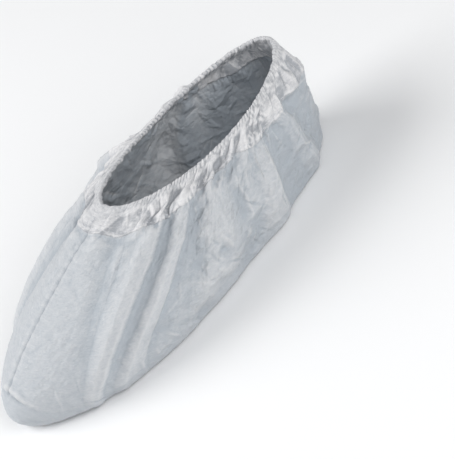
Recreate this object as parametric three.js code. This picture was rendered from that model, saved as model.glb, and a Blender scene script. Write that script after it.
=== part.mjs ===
// A disposable shoe cover of thin cloth, standing on its sole in the shape that a foot gives it.
// Sizes are millimetres. +X points to the toe, +Y to the wearer's left and +Z up.
// The origin is on the floor, under the middle of the cover.
import * as THREE from "three";

// Cloth and the clearance kept between two pieces.
const CLOTH = 1.5;
const GAP = 0.3;

// Hem: the casing folded over the elastic. Puckers stand out from both of its walls.
const HEM_DEPTH = 24;
const HEM_WALL = 1;
const HEM_ROLL = 1.4;
const PUCKER_OUT = 2;
const PUCKER_IN = 1;
const PUCKER_LIFT = 0.8;

// Elastic: a flat band that lies in the top of the hem.
const ELASTIC_WIDTH = 4.5;
const ELASTIC_THICKNESS = 1;
const ELASTIC_TOP = HEM_ROLL + GAP;
const PANEL_TOP = ELASTIC_TOP + ELASTIC_WIDTH + GAP;

// Height to which the sole is turned up, measured along the cloth.
const SOLE_TURN_TOE = 50;
const SOLE_TURN_SIDE = 20;
const SOLE_TURN_HEEL = 26;
const SOLE_TURN_POWER = 8;

// Loops round the cover, from the rim down to where the sole lies on the floor.
// front and back are where a loop crosses the middle line, and halfWidth is its half width.
// ball widens a loop at the ball of the foot and narrows it at the waist.
const SECTIONS = [
  { front: 15, frontZ: 91, back: -153.5, backZ: 89, halfWidth: 35, sideZ: 84, ball: 0 },
  { front: 51, frontZ: 79, back: -155, backZ: 79, halfWidth: 46, sideZ: 77, ball: 0.02 },
  { front: 98, frontZ: 61.5, back: -157, backZ: 65, halfWidth: 54, sideZ: 61, ball: 0.05 },
  { front: 129, frontZ: 47, back: -156.5, backZ: 48, halfWidth: 59.5, sideZ: 44.5, ball: 0.06 },
  { front: 151, frontZ: 30, back: -153.5, backZ: 31, halfWidth: 61, sideZ: 28, ball: 0.07 },
  { front: 157.5, frontZ: 14, back: -149.5, backZ: 14, halfWidth: 59, sideZ: 13, ball: 0.07 },
  { front: 150.5, frontZ: 3, back: -143, backZ: 3, halfWidth: 56, sideZ: 3, ball: 0.07 },
  { front: 136.5, frontZ: 0, back: -131, backZ: 0, halfWidth: 48, sideZ: 0, ball: 0.07 },
];

// Folds that run down from the hem. turn is 0 at the toe, 90 on the left and 180 at the heel.
// lean is how far a fold's crest turns on its way from the hem to the floor.
// toeSpread and heelSpread are how far a fold reaches on each side of its crest, in degrees.
// reach is where a fold has died out, as a share of the way from the hem to the floor.
const FOLDS = [
  { turn: 34, lean: 4, rise: -3, toeSpread: 14, heelSpread: 8, reach: 0.7 },
  { turn: 53, lean: -6, rise: 5, toeSpread: 10, heelSpread: 8, reach: 0.9 },
  { turn: 64, lean: -8, rise: -3, toeSpread: 6, heelSpread: 6, reach: 0.85 },
  { turn: 73, lean: -10, rise: 5, toeSpread: 8, heelSpread: 7, reach: 0.85 },
  { turn: 83, lean: 0, rise: -3.5, toeSpread: 7, heelSpread: 8, reach: 0.8 },
  { turn: 92, lean: -4, rise: 2, toeSpread: 7, heelSpread: 10, reach: 0.7 },
  { turn: 113, lean: 2, rise: 5, toeSpread: 16, heelSpread: 8, reach: 0.85 },
  { turn: 125, lean: 4, rise: -3.5, toeSpread: 7, heelSpread: 8, reach: 0.8 },
  { turn: 136, lean: 10, rise: 4, toeSpread: 8, heelSpread: 14, reach: 0.85 },
  { turn: 206, lean: -4, rise: 4, toeSpread: 10, heelSpread: 12, reach: 0.8 },
  { turn: 230, lean: -2, rise: -4, toeSpread: 9, heelSpread: 9, reach: 0.75 },
  { turn: 247, lean: 0, rise: 5, toeSpread: 9, heelSpread: 12, reach: 0.85 },
  { turn: 270, lean: 2, rise: -3, toeSpread: 10, heelSpread: 10, reach: 0.75 },
  { turn: 288, lean: 6, rise: 5, toeSpread: 9, heelSpread: 9, reach: 0.85 },
  { turn: 301, lean: 6, rise: -3, toeSpread: 7, heelSpread: 7, reach: 0.8 },
  { turn: 313, lean: 4, rise: 4.5, toeSpread: 9, heelSpread: 9, reach: 0.85 },
  { turn: 326, lean: -4, rise: -3, toeSpread: 9, heelSpread: 9, reach: 0.7 },
];
const FOLD_GROWTH = 0.22;
const FOLD_FADE = 0.4;

// How finely the walls are divided.
const COLUMNS = 80;
const STEP = 360 / COLUMNS;
const PANEL_ROWS = 8;
const SOLE_ROWS = 6;
const SPINE_SHARE = 0.8;

// Finishes.
const PANEL_CLOTH = new THREE.MeshStandardMaterial({ color: 0xdfe3e6, roughness: 0.85, metalness: 0 });
const SOLE_CLOTH = new THREE.MeshStandardMaterial({ color: 0xd6dbdf, roughness: 0.9, metalness: 0 });
const HEM_CLOTH = new THREE.MeshStandardMaterial({ color: 0xeef0f1, roughness: 0.85, metalness: 0 });
const RUBBER = new THREE.MeshStandardMaterial({ color: 0xf2f2ee, roughness: 0.6, metalness: 0 });

// A value that is front at the toe, side at the sides and back at the heel.
// A higher power keeps the side value for longer.
function around(turn, front, side, back, power = 2) {
  const forward = Math.cos(THREE.MathUtils.degToRad(turn));
  const end = forward > 0 ? front : back;
  return THREE.MathUtils.lerp(side, end, Math.abs(forward) ** power);
}

// The point of one loop at a turn.
function loopPoint(section, turn) {
  const angle = THREE.MathUtils.degToRad(turn);
  const middle = (section.front + section.back) / 2;
  const half = (section.front - section.back) / 2;
  const shape = 1 - section.ball * Math.cos(3 * angle);
  const x = middle + half * Math.cos(angle);
  const y = section.halfWidth * Math.sin(angle) * shape;
  const z = around(turn, section.frontZ, section.sideZ, section.backZ);
  return new THREE.Vector3(x, y, z);
}

// The line down the cloth at a turn, from the rim to the floor.
const profiles = new Map();
function profileAt(turn) {
  const key = turn.toFixed(3);
  if (!profiles.has(key)) {
    const points = SECTIONS.map((section) => loopPoint(section, turn));
    profiles.set(key, new THREE.CatmullRomCurve3(points, false, "centripetal"));
  }
  return profiles.get(key);
}

// The unfolded cloth at a turn and a share of the way down.
function clothPoint(turn, share) {
  return profileAt(turn).getPointAt(share);
}

// The direction out of the unfolded cloth.
function clothNormal(turn, share) {
  const low = Math.max(share - 0.01, 0);
  const high = Math.min(share + 0.01, 1);
  const down = clothPoint(turn, high).sub(clothPoint(turn, low));
  const along = clothPoint(turn + 0.5, share).sub(clothPoint(turn - 0.5, share));
  return down.cross(along).normalize();
}

// A rise of one at the crest of a fold, falling to nothing at its two sides.
// Turns grow towards the heel on the left half and towards the toe on the right half.
function foldAcross(fold, turn, way) {
  const away = (turn - fold.turn - fold.lean * way) * (fold.turn < 180 ? 1 : -1);
  const spread = away < 0 ? fold.toeSpread : fold.heelSpread;
  const reach = Math.min(Math.abs(away) / spread, 1);
  return 0.5 + 0.5 * Math.cos(Math.PI * reach);
}

// A rise that grows below the hem, stays and dies out at the fold's reach.
function foldAlong(fold, way) {
  const growth = THREE.MathUtils.smoothstep(way, 0, FOLD_GROWTH);
  const fade = THREE.MathUtils.smoothstep(way, fold.reach - FOLD_FADE, fold.reach);
  return growth * (1 - fade);
}

// How far the folds push the cloth out.
function foldRise(turn, share) {
  const wrapped = ((turn % 360) + 360) % 360;
  const hemShare = HEM_DEPTH / profileAt(turn).getLength();
  const way = (share - hemShare) / (1 - hemShare);
  let rise = 0;
  for (const fold of FOLDS) {
    rise += fold.rise * foldAcross(fold, wrapped, way) * foldAlong(fold, way);
  }
  return rise;
}

// A point of the folded cloth, moved out of it by an offset.
function foldedPoint(turn, share, offset) {
  const normal = clothNormal(turn, share);
  return clothPoint(turn, share).addScaledVector(normal, foldRise(turn, share) + offset);
}

// A point at a distance below the rim, measured along the cloth.
function pointBelowRim(turn, distance, offset) {
  return foldedPoint(turn, distance / profileAt(turn).getLength(), offset);
}

// Where the side panel ends and the sole's turned-up edge begins, as a share of the way down.
function seamShare(turn) {
  const turned = around(turn, SOLE_TURN_TOE, SOLE_TURN_SIDE, SOLE_TURN_HEEL, SOLE_TURN_POWER);
  return 1 - turned / profileAt(turn).getLength();
}

// A closed solid from its vertices and triangles.
function solid(vertices, triangles) {
  const geometry = new THREE.BufferGeometry();
  const positions = vertices.flatMap((vertex) => vertex.toArray());
  geometry.setAttribute("position", new THREE.Float32BufferAttribute(positions, 3));
  geometry.setIndex(triangles);
  geometry.computeVertexNormals();
  return geometry;
}

// The two triangles of a quad.
function quad(a, b, c, d) {
  return [a, b, c, a, c, d];
}

// A solid ring from its sections, one list of points for each column, each section closed.
function ring(sections) {
  const size = sections[0].length;
  const triangles = [];
  for (let column = 0; column < sections.length; column += 1) {
    const here = column * size;
    const next = ((column + 1) % sections.length) * size;
    for (let k = 0; k < size; k += 1) {
      const after = (k + 1) % size;
      triangles.push(...quad(here + k, here + after, next + after, next + k));
    }
  }
  return solid(sections.flat(), triangles);
}

// A solid strip from its sections, with its first and last section closed by a cap.
function strip(sections) {
  const size = sections[0].length;
  const rows = size / 2;
  const last = (sections.length - 1) * size;
  const triangles = [];
  for (let column = 0; column + 1 < sections.length; column += 1) {
    const here = column * size;
    const next = here + size;
    for (let k = 0; k < size; k += 1) {
      const after = (k + 1) % size;
      triangles.push(...quad(here + k, here + after, next + after, next + k));
    }
  }
  for (let k = 0; k + 1 < rows; k += 1) {
    const across = size - 1 - k;
    triangles.push(...quad(k, across, across - 1, k + 1));
    triangles.push(...quad(last + k, last + k + 1, last + across - 1, last + across));
  }
  return solid(sections.flat(), triangles);
}

// The shares at which a panel has rows: in the hem, at its edge and on down to the sole seam.
function panelShares(turn) {
  const length = profileAt(turn).getLength();
  const hemEdge = HEM_DEPTH / length;
  const end = seamShare(turn) - GAP / 2 / length;
  const shares = [PANEL_TOP / length, (PANEL_TOP + HEM_DEPTH) / 2 / length];
  for (let row = 0; row <= PANEL_ROWS; row += 1) {
    shares.push(THREE.MathUtils.lerp(hemEdge, end, row / PANEL_ROWS));
  }
  return shares;
}

// One side panel, from the seam on top of the foot round to the seam at the heel.
function panelGeometry(side) {
  const sections = [];
  for (let column = 0; column <= COLUMNS / 2; column += 1) {
    const turn = side > 0 ? column * STEP : 180 + column * STEP;
    const shares = panelShares(turn);
    const outer = shares.map((share) => foldedPoint(turn, share, 0));
    const inner = shares.map((share) => foldedPoint(turn, share, -CLOTH));
    const section = [...outer, ...inner.reverse()];
    for (const point of section) {
      point.y = side * Math.max(side * point.y, GAP / 2);
    }
    sections.push(section);
  }
  return strip(sections);
}

// The sole: its turned-up edge and the flat that lies on the floor.
function soleGeometry() {
  const sections = [];
  for (let column = 0; column < COLUMNS; column += 1) {
    const turn = column * STEP;
    const start = seamShare(turn) + GAP / 2 / profileAt(turn).getLength();
    const outer = [];
    const inner = [];
    for (let row = 0; row <= SOLE_ROWS; row += 1) {
      const share = THREE.MathUtils.lerp(start, 1, row / SOLE_ROWS);
      outer.push(foldedPoint(turn, share, 0));
      inner.push(foldedPoint(turn, share, -CLOTH));
    }
    outer[SOLE_ROWS].z = 0;
    inner[SOLE_ROWS].z = CLOTH;
    const spine = outer[SOLE_ROWS].x * SPINE_SHARE;
    outer.push(new THREE.Vector3(spine, 0, 0));
    inner.push(new THREE.Vector3(spine, 0, CLOTH));
    sections.push({ outer, inner });
  }
  return dish(sections);
}

// A solid dish from columns of outer and inner points that meet along a spine.
function dish(sections) {
  const rows = sections[0].outer.length;
  const size = rows * 2;
  const vertices = sections.flatMap((section) => [...section.outer, ...section.inner]);
  const triangles = [];
  for (let column = 0; column < sections.length; column += 1) {
    const here = column * size;
    const next = ((column + 1) % sections.length) * size;
    for (let row = 0; row + 1 < rows; row += 1) {
      const a = here + row;
      const b = next + row;
      triangles.push(...quad(a, a + 1, b + 1, b));
      triangles.push(...quad(a + rows, b + rows, b + rows + 1, a + rows + 1));
    }
    triangles.push(...quad(here, next, next + rows, here + rows));
  }
  return solid(vertices, triangles);
}

// The hem: an outer wall, a rolled top and an inner wall, open below so that it holds the panels.
function hemGeometry() {
  const sections = [];
  for (let column = 0; column < COLUMNS; column += 1) {
    const turn = column * STEP;
    const crest = column % 2;
    const outer = GAP + HEM_WALL + PUCKER_OUT * crest;
    const inner = -CLOTH - GAP - HEM_WALL - PUCKER_IN * (1 - crest);
    const middle = (PANEL_TOP + HEM_DEPTH) / 2;
    const rows = [
      [HEM_DEPTH, GAP],
      [HEM_DEPTH, outer - 0.5 * PUCKER_OUT * crest],
      [middle, outer],
      [PANEL_TOP, outer],
      [HEM_ROLL, outer - 0.7],
      [0, -CLOTH / 2],
      [HEM_ROLL, inner + 0.7],
      [PANEL_TOP, inner],
      [middle, inner],
      [HEM_DEPTH, inner],
      [HEM_DEPTH, -CLOTH - GAP],
      [middle, -CLOTH - GAP],
      [PANEL_TOP, -CLOTH - GAP],
      [HEM_ROLL, -CLOTH - GAP],
      [HEM_ROLL, GAP],
      [PANEL_TOP, GAP],
      [middle, GAP],
    ];
    const section = rows.map(([distance, offset]) => pointBelowRim(turn, distance, offset));
    section[5].z += PUCKER_LIFT * crest;
    sections.push(section.reverse());
  }
  return ring(sections);
}

// The elastic, midway between the two walls of the hem.
function elasticGeometry() {
  const sections = [];
  const face = (-CLOTH + ELASTIC_THICKNESS) / 2;
  const back = face - ELASTIC_THICKNESS;
  for (let column = 0; column < COLUMNS; column += 1) {
    const turn = column * STEP;
    const low = ELASTIC_TOP + ELASTIC_WIDTH;
    sections.push([
      pointBelowRim(turn, ELASTIC_TOP, face),
      pointBelowRim(turn, low, face),
      pointBelowRim(turn, low, back),
      pointBelowRim(turn, ELASTIC_TOP, back),
    ]);
  }
  return ring(sections);
}

// A named piece of the cover.
function piece(name, geometry, material) {
  const mesh = new THREE.Mesh(geometry, material);
  mesh.name = name;
  return mesh;
}

const cover = new THREE.Group();
cover.name = "shoe_cover";
cover.add(piece("left_panel", panelGeometry(1), PANEL_CLOTH));
cover.add(piece("right_panel", panelGeometry(-1), PANEL_CLOTH));
cover.add(piece("sole", soleGeometry(), SOLE_CLOTH));
cover.add(piece("hem", hemGeometry(), HEM_CLOTH));
cover.add(piece("elastic", elasticGeometry(), RUBBER));

export default cover;
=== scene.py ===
"""A disposable shoe cover of thin nonwoven cloth, gathered by an elastic and standing on its sole.

The cloth is shaped in millimetres. The finished meshes are in metres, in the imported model's frame.
A turn is an angle round the cover in degrees: 0 at the toe, 90 on the left, 180 at the heel.
A distance runs along the cloth, from the rim of the opening down to where the sole meets the floor.
A cloth's edge turns in at a seam in TURN_STEPS, and SEAM_GAP keeps it off the next cloth.
"""
import logging
import math
from dataclasses import dataclass, field
from enum import Enum

import bmesh
import bpy
import numpy as np
from bpy.types import Material, Mesh, Node, NodeOutputs, NodeSocket, NodeTree, Object
from mathutils import Matrix, Vector
from mathutils.bvhtree import BVHTree
from mathutils.geometry import delaunay_2d_cdt


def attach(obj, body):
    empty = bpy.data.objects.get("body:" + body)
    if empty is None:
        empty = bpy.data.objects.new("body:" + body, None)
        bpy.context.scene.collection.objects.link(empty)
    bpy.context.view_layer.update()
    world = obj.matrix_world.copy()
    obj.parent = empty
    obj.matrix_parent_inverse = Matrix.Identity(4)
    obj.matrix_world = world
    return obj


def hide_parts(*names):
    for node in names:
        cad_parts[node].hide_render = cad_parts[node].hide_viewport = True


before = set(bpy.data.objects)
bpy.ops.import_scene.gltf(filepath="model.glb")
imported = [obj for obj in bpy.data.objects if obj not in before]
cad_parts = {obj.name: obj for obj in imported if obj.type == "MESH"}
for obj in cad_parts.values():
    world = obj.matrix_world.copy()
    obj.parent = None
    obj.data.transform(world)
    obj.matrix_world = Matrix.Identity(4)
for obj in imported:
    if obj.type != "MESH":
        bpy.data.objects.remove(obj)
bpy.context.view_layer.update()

LOG = logging.getLogger("shoe_cover")
MILLIMETRE = 0.001
IMAGE_WIDTH = 455
BODY = "root"
SEED = 11
SHARP_ANGLE = math.radians(55.0)
TINY = 1e-9
MERGE_DISTANCE = 1e-6
SEAM_GAP = 0.04
TURN_STEPS = (0.3, 0.9, 2.0)
Span = tuple[float, float]
Colour = tuple[float, float, float]


class Side(Enum):
    """The two side panels, by the sign of their y."""

    LEFT = 1
    RIGHT = -1


class Hold(Enum):
    """How a sheet of cloth is held."""

    GATHERED = "gathered"
    STRETCHED = "stretched"


@dataclass(frozen=True)
class Section:
    """One loop round the unfolded cover.

    front and back are where the loop crosses the middle line. ball widens it at the ball of the foot.
    """

    front: float
    front_z: float
    back: float
    back_z: float
    half_width: float
    side_z: float
    ball: float


SECTIONS = (
    Section(front=15, front_z=91, back=-153.5, back_z=89, half_width=35, side_z=84, ball=0.0),
    Section(front=51, front_z=79, back=-155, back_z=79, half_width=46, side_z=77, ball=0.02),
    Section(front=98, front_z=61.5, back=-157, back_z=65, half_width=54, side_z=61, ball=0.05),
    Section(front=129, front_z=47, back=-156.5, back_z=48, half_width=59.5, side_z=44.5, ball=0.06),
    Section(front=151, front_z=30, back=-153.5, back_z=31, half_width=61, side_z=28, ball=0.07),
    Section(front=157.5, front_z=14, back=-149.5, back_z=14, half_width=59, side_z=13, ball=0.07),
    Section(front=150.5, front_z=3, back=-143, back_z=3, half_width=56, side_z=3, ball=0.07),
    Section(front=136.5, front_z=0, back=-131, back_z=0, half_width=48, side_z=0, ball=0.07),
)


@dataclass(frozen=True)
class Fold:
    """One fold that runs down from the hem.

    crest places its edge, in turns, at the five FOLD_SHARES of the way from the hem's edge to the floor.
    rise is how far the edge stands out at each of them. toe and heel are how far the fold reaches on its
    two sides, in degrees, at the hem and at the floor. flat is the share of its toe side that is level.
    """

    crest: tuple[float, float, float, float, float]
    rise: tuple[float, float, float, float, float]
    toe: Span
    heel: Span
    flat: float = 0.0


FOLD_SHARES = (0.0, 0.25, 0.5, 0.75, 1.0)
FOLDS = (
    Fold(crest=(31, 37, 40, 42, 42), rise=(-2.2, -1.8, -0.7, 0, 0), toe=(8, 7), heel=(5, 4)),
    Fold(
        crest=(60, 60, 55, 50, 41), rise=(4.5, 5, 4.8, 3.1, 0.4),
        toe=(20, 2.5), heel=(2.8, 2.2), flat=0.4,
    ),
    Fold(crest=(64.5, 64.5, 59.5, 54, 46), rise=(-1.2, -1.2, -1, -0.7, 0), toe=(3.5, 3), heel=(4.5, 4)),
    Fold(crest=(70, 72.6, 67.2, 60, 51), rise=(4, 5, 4.5, 3, 0.5), toe=(5, 4), heel=(6.5, 6.5)),
    Fold(crest=(76.5, 78, 73.6, 67.5, 61), rise=(-1.5, -2.2, -2.2, -1.5, 0), toe=(2, 2), heel=(7, 8)),
    Fold(crest=(81, 82, 84, 84, 83), rise=(-0.6, -0.8, -0.6, -0.3, 0), toe=(4, 6), heel=(5, 5)),
    Fold(crest=(88, 89, 90, 88.5, 87), rise=(0.8, 1.8, 1.8, 1, 0), toe=(7, 8), heel=(9, 9), flat=0.2),
    Fold(crest=(101, 103, 104, 104, 104), rise=(-2.5, -2, -1, -0.5, 0), toe=(5, 6), heel=(4, 5)),
    Fold(
        crest=(116.8, 118.8, 120.6, 122, 123), rise=(3, 5, 6, 5, 1.5),
        toe=(13, 11), heel=(3, 3), flat=0.4,
    ),
    Fold(crest=(124, 125, 127, 129, 131), rise=(-2.5, -3, -2.8, -2, 0), toe=(5, 5), heel=(8, 8)),
    Fold(crest=(132.4, 136, 139.6, 144, 148.5), rise=(2.5, 3.5, 3.5, 3, 1), toe=(7, 7), heel=(4.5, 4.5)),
    Fold(crest=(141, 145, 148, 152, 156), rise=(-4.2, -4.2, -3.2, -1.8, 0), toe=(6, 6), heel=(20, 14)),
    Fold(crest=(206, 204, 202, 200, 198), rise=(3, 3.5, 3, 2, 0.5), toe=(9, 8), heel=(6, 5), flat=0.3),
    Fold(crest=(230, 229, 228, 227, 226), rise=(-3, -3.5, -2.5, -1, 0), toe=(8, 7), heel=(8, 7)),
    Fold(crest=(247, 248, 247, 247, 246), rise=(4, 5, 5, 3.5, 1), toe=(9, 7), heel=(3.5, 3), flat=0.3),
    Fold(crest=(268, 269, 270, 272, 274), rise=(-2, -2.5, -2, -1, 0), toe=(8, 8), heel=(7, 7)),
    Fold(crest=(287, 286, 290, 294, 299), rise=(4.5, 5.5, 5, 3.5, 1), toe=(4, 3), heel=(9, 6), flat=0.2),
    Fold(crest=(296, 295, 299, 303, 308), rise=(-2, -2.5, -2, -1, 0), toe=(5, 4), heel=(4, 3)),
    Fold(crest=(309, 307, 311, 315, 320), rise=(4, 5, 5, 3.5, 1), toe=(8, 4), heel=(6, 3), flat=0.3),
    Fold(crest=(325, 323, 322, 321, 320), rise=(-2.5, -3, -2, -1, 0), toe=(8, 7), heel=(7, 6)),
)


@dataclass(frozen=True)
class Pucker:
    """Puckers of one size, between two distances below the rim, in millimetres."""

    pitch: float
    size: float
    above: float
    below: float


PUCKERS = (
    Pucker(pitch=2.6, size=0.25, above=0.0, below=5.0),
    Pucker(pitch=12.0, size=0.8, above=4.0, below=44.0),
    Pucker(pitch=22.0, size=1.2, above=10.0, below=80.0),
)


@dataclass(frozen=True)
class Facets:
    """Flat facets with sharp edges, as thin stiff cloth keeps them, in millimetres.

    around and down are a facet's mean size, and height is how far its corners stand out. The facets lie
    between two distances below the rim. toe and heel are their strength on the smoother cloth there.
    """

    around: float
    down: float
    height: float
    above: float
    below: float
    toe: float
    heel: float


HEM_TURNS = (0, 16, 34, 50, 59, 70, 84, 102, 112, 130, 136, 142, 152, 180, 215, 250, 290, 330, 360)
HEM_DEPTHS = (21, 21, 25, 27, 29, 27, 23, 20.5, 25, 25, 22, 23.5, 28, 26, 22, 26, 23, 26, 21)
FACETS = (
    Facets(around=17.0, down=24.0, height=2.4, above=28.0, below=260.0, toe=0.1, heel=0.4),
    Facets(around=9.0, down=13.0, height=1.2, above=26.0, below=260.0, toe=0.2, heel=0.5),
    Facets(around=3.6, down=5.0, height=0.2, above=26.0, below=260.0, toe=0.35, heel=0.5),
    Facets(around=11.0, down=13.0, height=3.2, above=11.0, below=40.0, toe=0.8, heel=0.4),
)


@dataclass(frozen=True)
class Pleats:
    """Pleats of one kind round the hem, in millimetres, each pair a least and a greatest value.

    begin is how far below the rim a pleat starts. deep is how far it is pressed in. Each pleat has one
    steep and one gentle side, as wide as steep and gentle say. lean is its greatest slant.
    """

    pitch: Span
    begin: Span
    length: Span
    deep: Span
    steep: float
    gentle: float
    lean: float


PLEATS = (
    Pleats(
        pitch=(2.2, 4.2), begin=(-7, -4), length=(9, 14),
        deep=(0.4, 1.2), steep=0.7, gentle=1.5, lean=0.15,
    ),
    Pleats(
        pitch=(6, 13), begin=(2, 7), length=(14, 26),
        deep=(1.2, 3.0), steep=1.2, gentle=5.0, lean=0.4,
    ),
    Pleats(
        pitch=(14, 34), begin=(5, 10), length=(20, 32),
        deep=(2.4, 4.4), steep=1.5, gentle=8.0, lean=0.6,
    ),
)


def smoothstep(value: np.ndarray, low: float, high: float) -> np.ndarray:
    """Rise smoothly from 0 at low to 1 at high.

    Args:
        value: The values to map.
        low: Where the rise begins.
        high: Where the rise ends.

    Returns:
        The mapped values, from 0 to 1.
    """
    share = np.clip((value - low) / (high - low), 0.0, 1.0)
    return share * share * (3.0 - 2.0 * share)


def unit(vectors: np.ndarray) -> np.ndarray:
    """Scale vectors along the last axis to length one."""
    return vectors / np.maximum(np.linalg.norm(vectors, axis=-1, keepdims=True), TINY)


def blur_round(values: np.ndarray, width: float) -> np.ndarray:
    """Smooth values along the closed column axis with a Gaussian.

    Args:
        values: Values with the rows first and the columns second.
        width: The Gaussian's standard deviation, in columns.

    Returns:
        The smoothed values, in the same shape.
    """
    columns = values.shape[1]
    waves = np.fft.rfftfreq(columns)
    keep = np.exp(-2.0 * (math.pi * waves * width) ** 2)
    shape = [1] * values.ndim
    shape[1] = len(keep)
    spectrum = np.fft.rfft(values, axis=1) * keep.reshape(shape)
    return np.fft.irfft(spectrum, n=columns, axis=1)


def ripples(
    points: np.ndarray, length: float, rng: np.random.Generator,
    waves: int = 28, spread: Span = (0.7, 1.4),
) -> np.ndarray:
    """Even random ripples in space, about one high.

    Args:
        points: Places in millimetres.
        length: The ripples' mean length, in millimetres.
        rng: The source of random numbers.
        waves: How many plane waves are added up.
        spread: The least and the greatest length of a wave, as shares of the mean.

    Returns:
        One height for each place.
    """
    total = np.zeros(points.shape[:-1])
    for _ in range(waves):
        direction = unit(rng.normal(size=3))
        stretch = rng.uniform(*spread)
        phase = rng.uniform(0.0, 2.0 * math.pi)
        total += np.sin(points @ direction * (2.0 * math.pi / (length * stretch)) + phase)
    return total / math.sqrt(waves / 2.0)


def soft_tent(share: np.ndarray, rounding: float) -> np.ndarray:
    """A straight-sided ridge of height one with a slightly rounded crest and foot.

    Args:
        share: Places across the ridge, with its crest at 0 and its two feet at -1 and 1.
        rounding: How far the crest and the feet are rounded, as a share of the half width.

    Returns:
        The ridge's height at each place.
    """
    slope = 1.0 + rounding - np.sqrt(share ** 2 + rounding ** 2)
    return 0.5 * (slope + np.sqrt(slope ** 2 + rounding ** 2))


@dataclass
class CoverForm:
    """The unfolded cloth: a smooth surface through the section loops, cut into an even grid.

    The grid has the turns as columns. Its rows run down the hem, the panel and the sole's turned-up edge.
    """

    columns: int = 900
    hem_depth: float = 24.0
    hem_rows: int = 20
    panel_rows: int = 80
    sole_rows: int = 26
    sole_toe: float = 50.0
    sole_side: float = 20.0
    sole_heel: float = 26.0
    sole_power: float = 8.0
    height_power: float = 2.0
    span_steps: int = 40
    turns: np.ndarray = field(init=False)
    lengths: np.ndarray = field(init=False)
    distances: np.ndarray = field(init=False)
    points: np.ndarray = field(init=False)
    normals: np.ndarray = field(init=False)

    def __post_init__(self) -> None:
        """Work out the grid once, because every piece reads it."""
        self.turns = np.arange(self.columns) * 360.0 / self.columns
        profile = self.profiles()
        steps = np.linalg.norm(np.diff(profile, axis=0), axis=-1)
        along = np.concatenate([np.zeros((1, self.columns)), np.cumsum(steps, axis=0)])
        self.lengths = along[-1]
        self.distances = self.row_distances()
        self.points = np.empty(self.distances.shape + (3,))
        for column in range(self.columns):
            for axis in range(3):
                self.points[:, column, axis] = np.interp(
                    self.distances[:, column], along[:, column], profile[:, column, axis]
                )
        self.normals = grid_normals(self.points)

    @property
    def seam_row(self) -> int:
        """The row where a side panel meets the sole."""
        return self.hem_rows + self.panel_rows

    @property
    def off_toe(self) -> np.ndarray:
        """How far round from the toe each column lies, either way, in degrees."""
        return np.abs((self.turns + 180.0) % 360.0 - 180.0)

    @property
    def past_seam(self) -> np.ndarray:
        """How far below the sole seam each grid point lies, along the cloth."""
        return self.distances - self.distances[self.seam_row]

    def around(self, front: float, side: float, back: float, power: float) -> np.ndarray:
        """A value for each turn: front at the toe, side at the sides and back at the heel.

        Args:
            front: The value at the toe.
            side: The value at the two sides.
            back: The value at the heel.
            power: How long the side value holds.

        Returns:
            One value for each column.
        """
        forward = np.cos(np.radians(self.turns))
        end = np.where(forward > 0, front, back)
        return side + (end - side) * np.abs(forward) ** power

    def profiles(self) -> np.ndarray:
        """Lines down the cloth, as centripetal curves through the section loops.

        Returns:
            Points by step, column and axis.
        """
        angle = np.radians(self.turns)
        loops = []
        for section in SECTIONS:
            middle = (section.front + section.back) / 2
            half = (section.front - section.back) / 2
            x = middle + half * np.cos(angle)
            y = section.half_width * np.sin(angle) * (1 - section.ball * np.cos(3 * angle))
            z = self.around(section.front_z, section.side_z, section.back_z, self.height_power)
            loops.append(np.stack([x, y, z], axis=-1))
        first = 2 * loops[0] - loops[1]
        last = 2 * loops[-1] - loops[-2]
        knots = [first, *loops, last]
        pieces = []
        for index in range(1, len(knots) - 2):
            before, here, after, beyond = knots[index - 1:index + 3]
            gaps = [
                np.linalg.norm(b - a, axis=-1, keepdims=True) ** 0.5
                for a, b in ((before, here), (here, after), (after, beyond))
            ]
            leave = (here - before) / gaps[0] - (after - before) / (gaps[0] + gaps[1])
            leave = (leave + (after - here) / gaps[1]) * gaps[1]
            reach = (after - here) / gaps[1] - (beyond - here) / (gaps[1] + gaps[2])
            reach = (reach + (beyond - after) / gaps[2]) * gaps[1]
            square = -3 * here + 3 * after - 2 * leave - reach
            cube = 2 * here - 2 * after + leave + reach
            for share in np.arange(self.span_steps) / self.span_steps:
                pieces.append(here + leave * share + square * share ** 2 + cube * share ** 3)
        pieces.append(loops[-1])
        return np.array(pieces)

    def row_distances(self) -> np.ndarray:
        """Share out the rows of the hem, the panel and the sole's edge.

        Returns:
            How far below the rim each grid point lies, by row and column.
        """
        turned = self.around(self.sole_toe, self.sole_side, self.sole_heel, self.sole_power)
        seam = self.lengths - turned
        hem = np.linspace(0.0, self.hem_depth, self.hem_rows + 1)[:-1]
        rows = [np.full(self.columns, distance) for distance in hem]
        for share in np.arange(self.panel_rows) / self.panel_rows:
            rows.append(self.hem_depth + (seam - self.hem_depth) * share)
        for share in np.linspace(0.0, 1.0, self.sole_rows + 1):
            rows.append(seam + turned * share)
        return np.array(rows)

    def ways(self) -> np.ndarray:
        """The share of the way from the hem's edge to the floor, below 0 inside the hem."""
        return (self.distances - self.hem_depth) / (self.lengths - self.hem_depth)


def grid_normals(points: np.ndarray) -> np.ndarray:
    """The directions out of a closed grid of cloth.

    Args:
        points: Grid points by row, column and axis, with the columns going once round.

    Returns:
        One unit vector for each grid point.
    """
    down = np.gradient(points, axis=0)
    along = np.roll(points, -1, axis=1) - np.roll(points, 1, axis=1)
    return unit(np.cross(down, along))


def dot(first: np.ndarray, second: np.ndarray) -> np.ndarray:
    """The products of two grids of vectors, by row and column."""
    return np.einsum("ijk,ijk->ij", first, second)


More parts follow.
